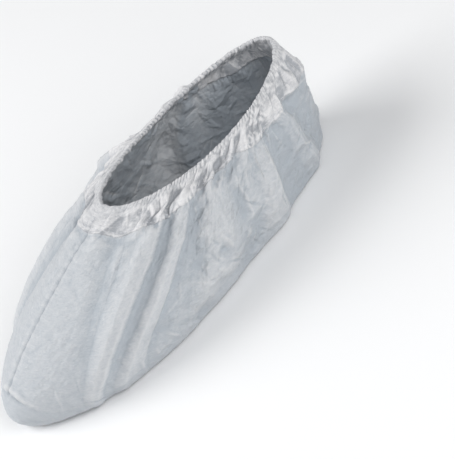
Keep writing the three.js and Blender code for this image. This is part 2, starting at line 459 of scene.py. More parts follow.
@dataclass(frozen=True)
class Links:
    """Links between grid points that share no point, each with its cut length."""

    first: tuple[slice, slice]
    second: tuple[slice, slice]
    length: np.ndarray
    stiffness: float

    def pull(self, points: np.ndarray) -> None:
        """Move the two ends of every link towards its cut length.

        Args:
            points: The grid points, which are moved in place.
        """
        here = points[self.first]
        there = points[self.second]
        span = there - here
        far = np.sqrt(dot(span, span))
        span *= (0.5 * self.stiffness * (1.0 - self.length / far))[..., None]
        here += span
        there -= span


@dataclass(frozen=True)
class Profile:
    """A value that changes with the distance below the rim, straight between given places."""

    distances: tuple[float, ...]
    values: tuple[float, ...]

    def at(self, distance: np.ndarray) -> np.ndarray:
        """The value at each distance."""
        return np.interp(distance, self.distances, self.values)


SPARE_ROUND = Profile((0, 3, 8, 16, 24, 34, 60), (0.06, 0.03, 0.02, 0.025, 0.03, 0.02, 0.003))
SLACK_DOWN = Profile((0, 4, 12, 22, 34, 60), (0.0, 0.01, 0.02, 0.02, 0.01, 0.003))
BUCKLE_MOST = Profile((0, 4, 12, 24, 50, 90), (0.25, 0.6, 1.2, 1.6, 1.5, 1.2))
DRIFT_BACK = Profile((0, 3, 8), (0.3, 0.1, 0.01))
PLEAT_MOST = Profile((0, 3, 8, 16), (1.4, 1.7, 3.0, 4.6))


@dataclass
class Gathering:
    """The cloth as the elastic gathers it: folded by the table, then settled link by link.

    The cloth is cut longer round than the form, most of all at the rim. Links between neighbouring
    grid points pull it to its cut size, so that the spare length buckles into puckers and creases.
    A pair of values is where an effect starts and where it is whole, or a least and a greatest value.
    Names that end in turns are degrees off the toe. Other lengths are in millimetres.
    """

    form: CoverForm
    # The table's folds
    crease_round: float = 0.04
    ridge_begin: Span = (1.0, 22.0)
    valley_begin: Span = (-1.5, 5.0)
    fold_floor: Span = (0.0, 14.0)
    crisp: float = 0.65
    crisp_begin: Span = (4.0, 36.0)
    # The hem's edge and its double cloth
    edge_pitch: Span = (7.0, 20.0)
    edge_wander: float = 0.7
    edge_tilt: float = 0.35
    edge_step: float = 1.2
    puff: float = 0.25
    puff_mean: float = 0.7
    puff_swing: float = 0.4
    puff_pitch: float = 24.0
    puff_begin: Span = (6.0, 18.0)
    puff_end: Span = (-0.5, 2.0)
    # The puckers that start the buckling
    pucker_squash: float = 0.35
    pucker_toe: float = 0.5
    pucker_turns: Span = (8.0, 30.0)
    pucker_floor: Span = (0.0, 30.0)
    # Settling
    rounds: int = 320
    hoop_stiffness: float = 0.9
    down_stiffness: float = 0.9
    shear_stiffness: float = 0.35
    bend_stiffness: float = 0.12
    spare_least: float = 0.35
    spare_swing: float = 1.2
    spare_pitch: float = 34.0
    spare_span: Span = (-1.0, 1.0)
    spare_toe: float = 0.4
    spare_turns: Span = (35.0, 80.0)
    spare_seam: Span = (2.0, 14.0)
    buckle_floor: Span = (-2.0, 40.0)
    # Facets
    facet_turns: tuple[float, float, float, float] = (66.0, 98.0, 116.0, 126.0)
    facet_ease: float = 4.0
    facet_fade: float = 6.0
    facet_jitter: float = 0.35
    facet_margin: int = 2
    facet_ray: float = 50.0
    facet_level: Span = (0.45, 0.9)
    facet_seam: Span = (0.0, 9.0)
    facet_floor: Span = (2.0, 18.0)
    patch_least: float = 0.15
    patch_pitch: float = 50.0
    patch_span: Span = (-0.7, 0.9)
    # Pleats
    pleat_round: float = 0.1
    pleat_ease: float = 4.0
    pleat_fade: float = 0.5
    pleat_toe: float = 0.35
    pleat_turns: Span = (20.0, 64.0)
    pleat_seam: Span = (0.0, 8.0)
    # Single creases
    single_creases: int = 320
    crease_long: Span = (7.0, 26.0)
    crease_wide: Span = (0.7, 1.4)
    crease_high: Span = (0.5, 1.4)
    crease_turns: Span = (62.0, 86.0)
    crease_toe: float = 0.3
    crease_sole: float = 0.6
    crease_reach: float = 25.0
    crease_margin: int = 8
    crease_floor: Span = (3.0, 22.0)
    crease_seam: Span = (0.0, 6.0)
    # Cloth that has folded over itself
    untangle_rounds: int = 12
    untangle_share: float = 0.5
    tangle_level: Span = (0.1, 0.4)
    # The seams at the toe and the heel
    seam_depth: float = 0.7
    seam_width: float = 1.2
    seam_begin: Span = (5.0, 15.0)
    seam_pucker: float = 0.18
    seam_pucker_pitch: float = 8.0
    seam_pucker_reach: float = 6.0
    seam_wander: float = 0.35
    welt_share: float = 0.5
    welt_aside: float = 3.0
    welt_width: float = 1.5
    # The sole seam
    sole_groove: float = 0.5
    sole_groove_width: float = 1.5
    sole_lip: float = 0.9
    lip_above: float = 3.0
    lip_width: float = 2.2
    lip_swing: float = 0.3
    lip_pitch: float = 14.0
    lip_turns: Span = (6.0, 32.0)
    sole_fade: float = 3.0
    # What the materials read
    crumple_toe: float = 0.3
    crumple_side: float = 0.35
    crumple_least: float = 0.55
    crumple_pitch: float = 45.0
    crumple_span: Span = (-0.9, 0.9)
    crumple_turns: Span = (52.0, 86.0)
    # ridge_most to heel_begin shape the painted light: a painted highlight on ridges and painted shade in
    # valleys and over the heel.
    ridge_most: float = 1.5
    ridge_span: float = 7.0
    valley_span: float = 4.5
    broad_columns: float = 24.0
    fine_step: int = 2
    # The next field sets the painted shade over the heel, darker and bluer.
    heel_painted_shade: float = 0.38
    heel_turns: Span = (119.0, 131.0)
    heel_begin: Span = (0.0, 4.0)
    rng: np.random.Generator = field(init=False)
    points: np.ndarray = field(init=False)
    normals: np.ndarray = field(init=False)
    hem_edge: np.ndarray = field(init=False)

    def __post_init__(self) -> None:
        """Fold, seed and settle the cloth, then press its facets, pleats, creases and seams into it."""
        self.rng = np.random.default_rng(SEED)
        form = self.form
        self.hem_edge = self.stepped_edge()
        rise = self.fold_rise() + self.hem_puff()
        rest = form.points + form.normals * rise[..., None]
        seeds = self.pucker_seeds()
        start = form.points + form.normals * (rise + seeds)[..., None]
        settled = self.settle(start, rest, rise)
        crisp = self.crisp * self.past_hem(self.crisp_begin)
        self.points = settled + (rest - settled) * crisp[..., None]
        for shape in (self.facets, self.pleats, self.creases, self.seam_pinch, self.sole_pinch):
            self.points += grid_normals(self.points) * shape()[..., None]
        self.untangle()
        self.pin(self.points)
        self.normals = grid_normals(self.points)

    def past_hem(self, span: Span) -> np.ndarray:
        """Nothing at one distance below the hem's edge, rising to one at another."""
        return smoothstep(self.form.distances - self.hem_edge, *span)

    def off_floor(self, span: Span) -> np.ndarray:
        """Nothing at one distance from the floor along the cloth, rising to one at another."""
        return smoothstep(self.form.lengths - self.form.distances, *span)

    def off_seams(self, span: Span) -> np.ndarray:
        """Nothing within one distance of the seams on the middle line, rising to one at another."""
        return smoothstep(np.abs(self.form.points[..., 1]), *span)

    def above_sole(self) -> np.ndarray:
        """One on the panels, falling to nothing just below the sole seam."""
        return 1.0 - smoothstep(self.form.past_seam, 0.0, self.sole_fade)

    def hem_line(self) -> tuple[np.ndarray, float]:
        """How far along the middle of the hem each column lies, and the hem's whole length.

        Returns:
            One length for each column, and the length of the loop.
        """
        loop = self.form.points[self.form.hem_rows // 2]
        steps = np.linalg.norm(np.roll(loop, -1, axis=0) - loop, axis=-1)
        return np.concatenate([[0.0], np.cumsum(steps)[:-1]]), float(np.sum(steps))

    def ring_places(self, squash: float) -> np.ndarray:
        """Places on a round tube as long round as the hem, for patterns that close on themselves.

        Args:
            squash: How much shorter the tube is than the cloth, so that patterns run down it.

        Returns:
            Places by row, column and axis, in millimetres.
        """
        along, loop = self.hem_line()
        radius = loop / (2 * math.pi)
        angle = np.broadcast_to(along / radius, self.form.distances.shape)
        depth = self.form.distances * squash
        return np.stack([radius * np.cos(angle), radius * np.sin(angle), depth], axis=-1)

    def stepped_edge(self) -> np.ndarray:
        """How deep the hem is at each column, in short straight lengths with small steps between them.

        Returns:
            One depth for each column.
        """
        along, loop = self.hem_line()
        places = [0.0]
        while places[-1] < loop - self.edge_pitch[1]:
            places.append(places[-1] + self.rng.uniform(*self.edge_pitch))
        knots = np.array(places)
        ends = np.concatenate([knots[1:], [loop]]) - self.edge_step
        spots = np.stack([knots, ends], axis=-1).ravel()
        depths = self.rng.normal(size=(len(knots), 1))
        depths = depths + self.edge_tilt * self.rng.normal(size=(len(knots), 2))
        depths[0, 0] = depths[-1, 1] = 0.0
        wander = np.interp(along, spots, depths.ravel())
        return np.interp(self.form.turns, HEM_TURNS, HEM_DEPTHS) + self.edge_wander * wander

    def fold_rise(self) -> np.ndarray:
        """How far the table's folds push the cloth out.

        Returns:
            Heights by row and column.
        """
        form = self.form
        way = np.clip(form.ways(), 0.0, 1.0)
        ridge_begin = smoothstep(form.distances, *self.ridge_begin)
        valley_begin = self.past_hem(self.valley_begin)
        total = np.zeros_like(way)
        for fold in FOLDS:
            crest = np.interp(way, FOLD_SHARES, fold.crest)
            away = (form.turns - crest + 180.0) % 360.0 - 180.0
            if fold.crest[0] > 180:
                away = -away
            toe = np.interp(way, (0.0, 1.0), fold.toe)
            heel = np.interp(way, (0.0, 1.0), fold.heel)
            level = np.maximum(-away / toe - fold.flat, 0.0) / (1.0 - fold.flat)
            share = np.where(away < 0, level, away / heel)
            begin = ridge_begin if max(fold.rise) > 0 else valley_begin
            rise = np.interp(way, FOLD_SHARES, fold.rise)
            total += begin * rise * soft_tent(share, self.crease_round)
        return total * self.off_floor(self.fold_floor)

    def hem_puff(self) -> np.ndarray:
        """How far the double cloth of the hem stands out over the single cloth below it.

        Returns:
            Heights by row and column.
        """
        inside = 1.0 - self.past_hem(self.puff_end)
        waves = ripples(self.ring_places(0.0), self.puff_pitch, self.rng)
        uneven = self.puff_mean + self.puff_swing * waves
        return self.puff * uneven * smoothstep(self.form.distances, *self.puff_begin) * inside

    def pucker_seeds(self) -> np.ndarray:
        """Puckers that are fine at the rim and join into wider folds below it.

        Returns:
            Heights by row and column.
        """
        distance = self.form.distances
        tube = self.ring_places(self.pucker_squash)
        height = np.zeros_like(distance)
        for level in PUCKERS:
            near = smoothstep(distance, level.above - level.pitch, level.above + 0.5 * level.pitch)
            near = near * (1.0 - smoothstep(distance, level.below * 0.5, level.below))
            height += level.size * near * ripples(tube, level.pitch, self.rng)
        side = smoothstep(self.form.off_toe, *self.pucker_turns)
        height *= self.pucker_toe + (1.0 - self.pucker_toe) * side
        return height * self.off_floor(self.pucker_floor)

    def facets(self) -> np.ndarray:
        """The heights of every layer of facets.

        Returns:
            Heights by row and column.
        """
        form = self.form
        distance = form.distances
        height = np.zeros_like(distance)
        for layer in FACETS:
            near = smoothstep(distance, layer.above - self.facet_ease, layer.above + self.facet_ease)
            near = near * (1.0 - smoothstep(distance, layer.below - self.facet_fade, layer.below))
            strength = np.interp(form.off_toe, self.facet_turns, (layer.toe, 1.0, 1.0, layer.heel))
            waves = ripples(form.points, self.patch_pitch, self.rng)
            patchy = self.patch_least + smoothstep(waves, *self.patch_span)
            height += near * strength * patchy * self.facet_layer(layer)
        level = dot(grid_normals(self.points), form.normals)
        height *= smoothstep(level, *self.facet_level) * self.off_seams(self.facet_seam)
        return height * self.off_floor(self.facet_floor)

    def facet_layer(self, layer: Facets) -> np.ndarray:
        """One layer of facets, as a net of triangles with random corners over the unrolled cloth.

        Args:
            layer: The facets' sizes.

        Returns:
            Heights by row and column.
        """
        distances = self.form.distances
        along, loop = self.hem_line()
        count = round(loop / layer.around)
        margin = self.facet_margin
        rows = int(np.max(distances) / layer.down) + 2 * margin + 1
        row, column = np.meshgrid(np.arange(rows), np.arange(count), indexing="ij")
        jitter = self.rng.uniform(-self.facet_jitter, self.facet_jitter, size=(2, rows, count))
        across = (column + 0.5 * (row % 2) + jitter[0]) * loop / count
        below = (row - margin + jitter[1]) * layer.down
        height = self.rng.normal(size=row.shape) * layer.height
        across = np.concatenate([across - loop, across, across + loop], axis=1).ravel()
        below = np.concatenate([below] * 3, axis=1).ravel()
        height = np.concatenate([height] * 3, axis=1).ravel()
        flat = [Vector(pair) for pair in zip(across, below)]
        corners, _, faces, sources, _, _ = delaunay_2d_cdt(flat, [], [], 0, MERGE_DISTANCE)
        net = BVHTree.FromPolygons(
            [(corner.x, corner.y, height[source[0]]) for corner, source in zip(corners, sources)], faces
        )
        high = self.facet_ray
        fall = Vector((0.0, 0.0, -1.0))
        places = zip(np.broadcast_to(along, distances.shape).ravel(), distances.ravel())
        heights = [high - net.ray_cast(Vector((x, y, high)), fall)[3] for x, y in places]
        return np.array(heights).reshape(distances.shape)

    def pleats(self) -> np.ndarray:
        """The depths of every kind of pleat round the hem.

        Returns:
            Heights by row and column.
        """
        distance = self.form.distances
        along, loop = self.hem_line()
        rng = self.rng
        height = np.zeros_like(distance)
        for kind in PLEATS:
            place_at = rng.uniform(*kind.pitch)
            while place_at < loop:
                begin = rng.uniform(*kind.begin)
                end = begin + rng.uniform(*kind.length)
                deep = rng.uniform(*kind.deep)
                lean = rng.uniform(-kind.lean, kind.lean)
                toe, heel = rng.permutation((kind.steep, kind.gentle))
                away = (along - place_at - lean * distance + loop / 2) % loop - loop / 2
                across = soft_tent(np.where(away < 0, away / toe, away / heel), self.pleat_round)
                down = smoothstep(distance, begin, begin + self.pleat_ease)
                down = down * (1.0 - smoothstep(distance, self.pleat_fade * end, end))
                height -= deep * across * down
                place_at += rng.uniform(*kind.pitch)
        calm = smoothstep(self.form.off_toe, *self.pleat_turns)
        calm = self.pleat_toe + (1.0 - self.pleat_toe) * calm
        most = PLEAT_MOST.at(distance)
        return most * np.tanh(height / most) * calm * self.off_seams(self.pleat_seam)

    def creases(self) -> np.ndarray:
        """Short single creases, as handling leaves them.

        Returns:
            Heights by row and column.
        """
        form = self.form
        points = self.points
        rng = self.rng
        height = np.zeros(points.shape[:2])
        strength = np.interp(form.off_toe, self.crease_turns, (self.crease_toe, 1.0))
        last = form.seam_row + form.sole_rows - self.crease_margin
        for _ in range(self.single_creases):
            row = int(rng.integers(form.hem_rows, last))
            column = int(rng.integers(form.columns))
            long = rng.uniform(*self.crease_long)
            wide = rng.uniform(*self.crease_wide)
            high = rng.choice([-1.0, 1.0]) * rng.uniform(*self.crease_high)
            high *= strength[column] if row < form.seam_row else self.crease_sole
            out = form.normals[row, column]
            line = unit(np.cross(out, rng.normal(size=3)))
            span = points - points[row, column]
            along = span @ line
            aside = np.abs(span @ unit(np.cross(out, line)))
            deep = np.abs(span @ out)
            near = np.clip(1.0 - (2 * along / long) ** 2, 0.0, 1.0)
            height += high * near * np.exp(-aside / wide) * (deep < self.crease_reach)
        return height * self.off_floor(self.crease_floor) * self.off_seams(self.crease_seam)

    def seam_pinch(self) -> np.ndarray:
        """The groove, the welts beside it and the small puckers along the seams at the toe and the heel.

        Returns:
            Heights by row and column.
        """
        form = self.form
        height = np.zeros(form.distances.shape)
        for column in (0, form.columns // 2):
            span = self.points - self.points[:, column:column + 1]
            aside = np.linalg.norm(span, axis=-1)
            wander = np.cumsum(self.rng.normal(size=len(aside))) * self.seam_wander
            phase = 2 * math.pi * form.distances[:, column] / self.seam_pucker_pitch + wander
            pucker = np.sin(phase)[:, None] * np.exp(-aside / self.seam_pucker_reach) * self.seam_pucker
            groove = -self.seam_depth * np.exp(-(aside / self.seam_width) ** 2)
            welt = np.exp(-((aside - self.welt_aside) / self.welt_width) ** 2)
            height += pucker + groove + self.welt_share * self.seam_depth * welt
        return height * smoothstep(form.distances, *self.seam_begin) * self.above_sole()

    def sole_pinch(self) -> np.ndarray:
        """The groove along the sole seam and the lip that hangs over it at the toe.

        Returns:
            Heights by row and column.
        """
        form = self.form
        past = form.past_seam
        tip = 1.0 - smoothstep(form.off_toe, *self.lip_turns)
        uneven = 1.0 + self.lip_swing * ripples(form.points[form.seam_row], self.lip_pitch, self.rng)
        groove = -self.sole_groove * np.exp(-(past / self.sole_groove_width) ** 2)
        lip = self.sole_lip * np.exp(-((past + self.lip_above) / self.lip_width) ** 2)
        return tip * uneven * (groove + lip)

    def untangle(self) -> None:
        """Smooth the few places where the cloth has folded over itself."""
        for _ in range(self.untangle_rounds):
            level = dot(grid_normals(self.points), self.form.normals)
            tall = np.pad(level, ((1, 1), (0, 0)), mode="edge")
            level = np.minimum(level, np.minimum(tall[2:], tall[:-2]))
            level = np.minimum(level, np.minimum(np.roll(level, 1, axis=1), np.roll(level, -1, axis=1)))
            tangled = self.untangle_share * (1.0 - smoothstep(level, *self.tangle_level))
            rows = np.pad(self.points, ((1, 1), (0, 0), (0, 0)), mode="edge")
            beside = np.roll(self.points, 1, axis=1) + np.roll(self.points, -1, axis=1)
            middle = (rows[2:] + rows[:-2] + beside) / 4
            self.points[1:-1] += ((middle - self.points) * tangled[..., None])[1:-1]
            rim = beside[0] / 2 - self.points[0]
            self.points[0] += rim * tangled[0][:, None]

    def at(self, distances: np.ndarray) -> tuple[np.ndarray, np.ndarray]:
        """Places on the gathered cloth at other distances than the grid's rows.

        Args:
            distances: Distances below the rim, by row and column.

        Returns:
            The points and the directions out of the cloth there.
        """
        both = np.concatenate([self.points, self.normals], axis=-1)
        found = np.empty(distances.shape + (6,))
        for column in range(self.form.columns):
            known = self.form.distances[:, column]
            for axis in range(6):
                found[:, column, axis] = np.interp(distances[:, column], known, both[:, column, axis])
        return found[..., :3], unit(found[..., 3:])

    def pin(self, points: np.ndarray) -> None:
        """Hold the seams on the middle line and the sole's lowest row on the floor.

        Args:
            points: The grid points, which are moved in place.
        """
        form = self.form
        points[:, 0, 1] = 0.0
        points[:, form.columns // 2, 1] = 0.0
        points[-1] = form.points[-1]

    def settle(self, start: np.ndarray, rest: np.ndarray, rise: np.ndarray) -> np.ndarray:
        """Pull every link to its cut length, again and again.

        Args:
            start: Where the grid points begin.
            rest: The folded cloth before it is cut longer.
            rise: How far the table's folds stand out.

        Returns:
            The settled grid points.
        """
        form = self.form
        points = start.copy()
        waves = ripples(self.ring_places(0.0), self.spare_pitch, np.random.default_rng(SEED))
        patchy = self.spare_least + self.spare_swing * smoothstep(waves, *self.spare_span)
        side = self.spare_toe + (1.0 - self.spare_toe) * smoothstep(form.off_toe, *self.spare_turns)
        spare = SPARE_ROUND.at(form.distances) * patchy * side * self.off_seams(self.spare_seam)
        limit = BUCKLE_MOST.at(form.distances) * self.off_floor(self.buckle_floor)
        drift = DRIFT_BACK.at(form.distances)[..., None]
        links = self.links(rest, spare, SLACK_DOWN.at(form.distances))
        for _ in range(self.rounds):
            for group in links:
                group.pull(points)
            offset = points - form.points
            out = dot(offset, form.normals)
            held = np.clip(out, rise - limit, rise + limit)
            slide = offset - form.normals * out[..., None]
            points = form.points + form.normals * held[..., None] + slide * (1.0 - drift)
            self.pin(points)
        return points

    def links(self, rest: np.ndarray, spare: np.ndarray, slack: np.ndarray) -> list[Links]:
        """The links between neighbouring grid points, in groups that share no point.

        Args:
            rest: The folded cloth before it is cut longer.
            spare: The share by which the cloth is longer round than that.
            slack: The share by which it is longer downwards.

        Returns:
            The groups of links.
        """
        rows, columns = spare.shape
        steps = (np.roll(rest, -1, axis=1) - rest) * (1.0 + spare)[..., None]
        down = (rest[1:] - rest[:-1]) * (1.0 + slack[1:])[..., None]
        hoop = np.linalg.norm(steps, axis=-1)
        hoop_two = np.linalg.norm(steps + np.roll(steps, -1, axis=1), axis=-1)
        fall = np.linalg.norm(down, axis=-1)
        fall_two = np.linalg.norm(down[1:] + down[:-1], axis=-1)
        slant = np.linalg.norm(steps[:-1] + np.roll(down, -1, axis=1), axis=-1)
        counter = np.linalg.norm(down - steps[:-1], axis=-1)
        every = slice(None)
        zero = slice(0, 1)
        last = slice(columns - 1, columns)
        right = slice(1, None)
        left = slice(0, -1)
        round_it, shear, bend = self.hoop_stiffness, self.shear_stiffness, self.bend_stiffness
        groups = [
            Links((every, slice(0, None, 2)), (every, slice(1, None, 2)), hoop[:, 0::2], round_it),
            Links((every, slice(1, -1, 2)), (every, slice(2, None, 2)), hoop[:, 1:-1:2], round_it),
            Links((every, last), (every, zero), hoop[:, -1:], round_it),
        ]
        for begin in (0, 1):
            upper = slice(begin, rows - 1, 2)
            lower = slice(begin + 1, rows, 2)
            slants = slant[begin::2]
            counters = counter[begin::2]
            groups += [
                Links((upper, every), (lower, every), fall[begin::2], self.down_stiffness),
                Links((upper, left), (lower, right), slants[:, :-1], shear),
                Links((upper, last), (lower, zero), slants[:, -1:], shear),
                Links((upper, right), (lower, left), counters[:, :-1], shear),
                Links((upper, zero), (lower, last), counters[:, -1:], shear),
            ]
        for begin in range(4):
            near = slice(begin, columns - 2, 4)
            far = slice(begin + 2, columns, 4)
            upper = slice(begin, rows - 2, 4)
            lower = slice(begin + 2, rows, 4)
            groups += [
                Links((every, near), (every, far), hoop_two[:, near], bend),
                Links((upper, every), (lower, every), fall_two[begin::4], bend),
            ]
        wrap = slice(columns - 2, columns)
        groups.append(Links((every, wrap), (every, slice(0, 2)), hoop_two[:, wrap], bend))
        return groups

    def pattern(self) -> tuple[np.ndarray, np.ndarray]:
        """The cloth's own coordinates, across and below, with the first column repeated at the end.

        Returns:
            Two arrays by row and column, in millimetres.
        """
        form = self.form
        widest = form.points[form.seam_row]
        steps = np.linalg.norm(np.roll(widest, -1, axis=0) - widest, axis=-1)
        across = np.concatenate([[0.0], np.cumsum(steps)])
        below = np.concatenate([form.distances, form.distances[:, :1]], axis=1)
        return np.broadcast_to(across, below.shape), below

    def crumple(self) -> np.ndarray:
        """How strongly the finest creases show: least over the toe.

        Returns:
            Shares by row and column.
        """
        form = self.form
        waves = ripples(form.points, self.crumple_pitch, np.random.default_rng(SEED + 1))
        patchy = smoothstep(waves, *self.crumple_span)
        side = self.crumple_toe + self.crumple_side * smoothstep(form.off_toe, *self.crumple_turns)
        return side * (self.crumple_least + (1.0 - self.crumple_least) * patchy)

    def raised(self) -> np.ndarray:
        """The painted light at each grid point, from how far it stands above its surroundings: 0 in the
        valleys, which get painted shade, darker and bluer, to 1 on the ridges, which get a painted
        highlight, whiter.

        The cloth that is drawn flat over the heel gets more painted shade.

        Returns:
            Shares by row and column.
        """
        form = self.form
        drawn = smoothstep(form.off_toe, *self.heel_turns) * self.past_hem(self.heel_begin)
        out = dot(self.points - form.points, form.normals)
        broad = out - blur_round(out, self.broad_columns)
        step = self.fine_step
        tall = np.pad(out, ((step, step), (0, 0)), mode="edge")
        near = tall[2 * step:] + tall[:-2 * step]
        near = (near + np.roll(out, step, axis=1) + np.roll(out, -step, axis=1)) / 4
        ridge = np.minimum(broad, self.ridge_most) / self.ridge_span
        broad = np.where(broad > 0.0, ridge, broad / self.valley_span)
        return np.clip(0.5 + broad + (out - near) - self.heel_painted_shade * drawn, 0.0, 1.0)


@dataclass(frozen=True)
class GridMesh:
    """A grid of cloth ready to become a mesh.

    The points go by row, column and axis, in millimetres. across and below are the cloth's own
    coordinates for the fibre pattern, with one more column than the points where the grid is closed.
    """

    points: np.ndarray
    across: np.ndarray
    below: np.ndarray
    # The next field is painted light and shade for the colour: whiter on ridges, darker and bluer in
    # valleys.
    raised: np.ndarray
    crumple: np.ndarray
    closed: bool

    def build(self, name: str) -> Object:
        """Make the object, with its cloth coordinates and its painted light and crumple attributes.

        Args:
            name: The piece's name.

        Returns:
            The new object.
        """
        rows, columns = self.points.shape[:2]
        spans = columns if self.closed else columns - 1
        row, column = np.meshgrid(np.arange(rows - 1), np.arange(spans), indexing="ij")
        corner_rows = np.stack([row, row + 1, row + 1, row], axis=-1).reshape(-1, 4)
        corner_columns = np.stack([column, column, column + 1, column + 1], axis=-1).reshape(-1, 4)
        faces = corner_rows * columns + corner_columns % columns
        mesh = bpy.data.meshes.new(name)
        places = self.points.reshape(-1, 3) * MILLIMETRE
        mesh.from_pydata(places.tolist(), [], faces.tolist())
        layer = mesh.uv_layers.new(name="cloth")
        across = self.across[corner_rows, corner_columns].ravel()
        below = self.below[corner_rows, corner_columns].ravel()
        pattern = np.stack([across, below], axis=-1) * MILLIMETRE
        layer.uv.foreach_set("vector", pattern.astype(np.float32).ravel())
        for kind, values in (("raised", self.raised), ("crumple", self.crumple)):
            shares = mesh.attributes.new(kind, "FLOAT", "POINT")
            shares.data.foreach_set("value", values.astype(np.float32).ravel())
        return add_object(name, mesh)


def add_object(name: str, mesh: Mesh) -> Object:
    """Put a mesh in the scene, smoothly shaded.

    Args:
        name: The piece's name.
        mesh: The piece's mesh.

    Returns:
        The new object.
    """
    mesh.shade_smooth()
    mesh.set_sharp_from_angle(angle=SHARP_ANGLE)
    piece = bpy.data.objects.new(name, mesh)
    bpy.context.scene.collection.objects.link(piece)
    return piece


def thicken(piece: Object, thickness: float) -> None:
    """Give a sheet its thickness, inwards from its outer face.

    Args:
        piece: The sheet.
        thickness: The cloth's thickness, in millimetres.
    """
    wall = piece.modifiers.new("cloth", "SOLIDIFY")
    wall.thickness = thickness * MILLIMETRE
    wall.offset = -1.0
    wall.use_even_offset = False


def place(piece: Object, slot: str, *nodes: str) -> None:
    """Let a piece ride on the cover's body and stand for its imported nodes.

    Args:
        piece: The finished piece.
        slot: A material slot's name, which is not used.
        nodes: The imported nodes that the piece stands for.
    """
    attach(piece, BODY)
    if nodes:
        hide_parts(*nodes)


def set_inputs(node: Node, inputs: dict[str, object]) -> None:
    """Give a node's inputs their values.

    Args:
        node: The node.
        inputs: The values by the inputs' names. A socket is linked, and anything else is set.
    """
    for name, value in inputs.items():
        if isinstance(value, NodeSocket):
            node.id_data.links.new(value, node.inputs[name])
        else:
            node.inputs[name].default_value = value


def add_node(
    tree: NodeTree, kind: str, inputs: dict[str, object], **options: object
) -> Node:
    """Add a node to a tree.

    Args:
        tree: The tree that gets the node.
        kind: The node's type.
        inputs: The values of its inputs, as set_inputs takes them.
        options: The node's own settings, such as its mode.

    Returns:
        The new node.
    """
    node = tree.nodes.new(kind)
    for name, value in options.items():
        setattr(node, name, value)
    set_inputs(node, inputs)
    return node


def maths(tree: NodeTree, way: str, *values: object) -> NodeSocket:
    """Join values with a maths node.

    Args:
        tree: The tree that gets the node.
        way: The node's operation.
        values: The values in order. A socket is linked, and a number is set.

    Returns:
        The joined value.
    """
    node = tree.nodes.new("ShaderNodeMath")
    node.operation = way
    for entry, value in zip(node.inputs, values):
        if isinstance(value, NodeSocket):
            tree.links.new(value, entry)
        else:
            entry.default_value = value
    return node.outputs[0]


def mixed_colour(
    tree: NodeTree, low: Colour, high: Colour, share: NodeSocket
) -> NodeSocket:
    """Mix two colours.

    Args:
        tree: The tree that gets the node.
        low: The colour where the share is nothing.
        high: The colour where the share is one.
        share: The share.

    Returns:
        The mixed colour.
    """
    inputs = {"A": (*low, 1.0), "B": (*high, 1.0), "Factor": share}
    return add_node(tree, "ShaderNodeMix", inputs, data_type="RGBA").outputs["Result"]


def bumped(
    tree: NodeTree, strength: float, depth: float, **inputs: NodeSocket
) -> NodeSocket:
    """Turn a height into a normal.

    Args:
        tree: The tree that gets the node.
        strength: The bump's strength.
        depth: How far a height of one stands out, in millimetres.
        inputs: The Height, and the Normal under the bump where there is one.

    Returns:
        The bumped normal.
    """
    values = {"Strength": strength, "Distance": depth * MILLIMETRE, **inputs}
    return add_node(tree, "ShaderNodeBump", values).outputs["Normal"]


def new_material(name: str) -> tuple[Material, NodeTree, Node]:
    """Start a material.

    Args:
        name: The material's name.

    Returns:
        The material, its node tree and its shader.
    """
    material = bpy.data.materials.new(name)
    material.use_nodes = True
    tree = material.node_tree
    shader = next(node for node in tree.nodes if node.type == "BSDF_PRINCIPLED")
    return material, tree, shader


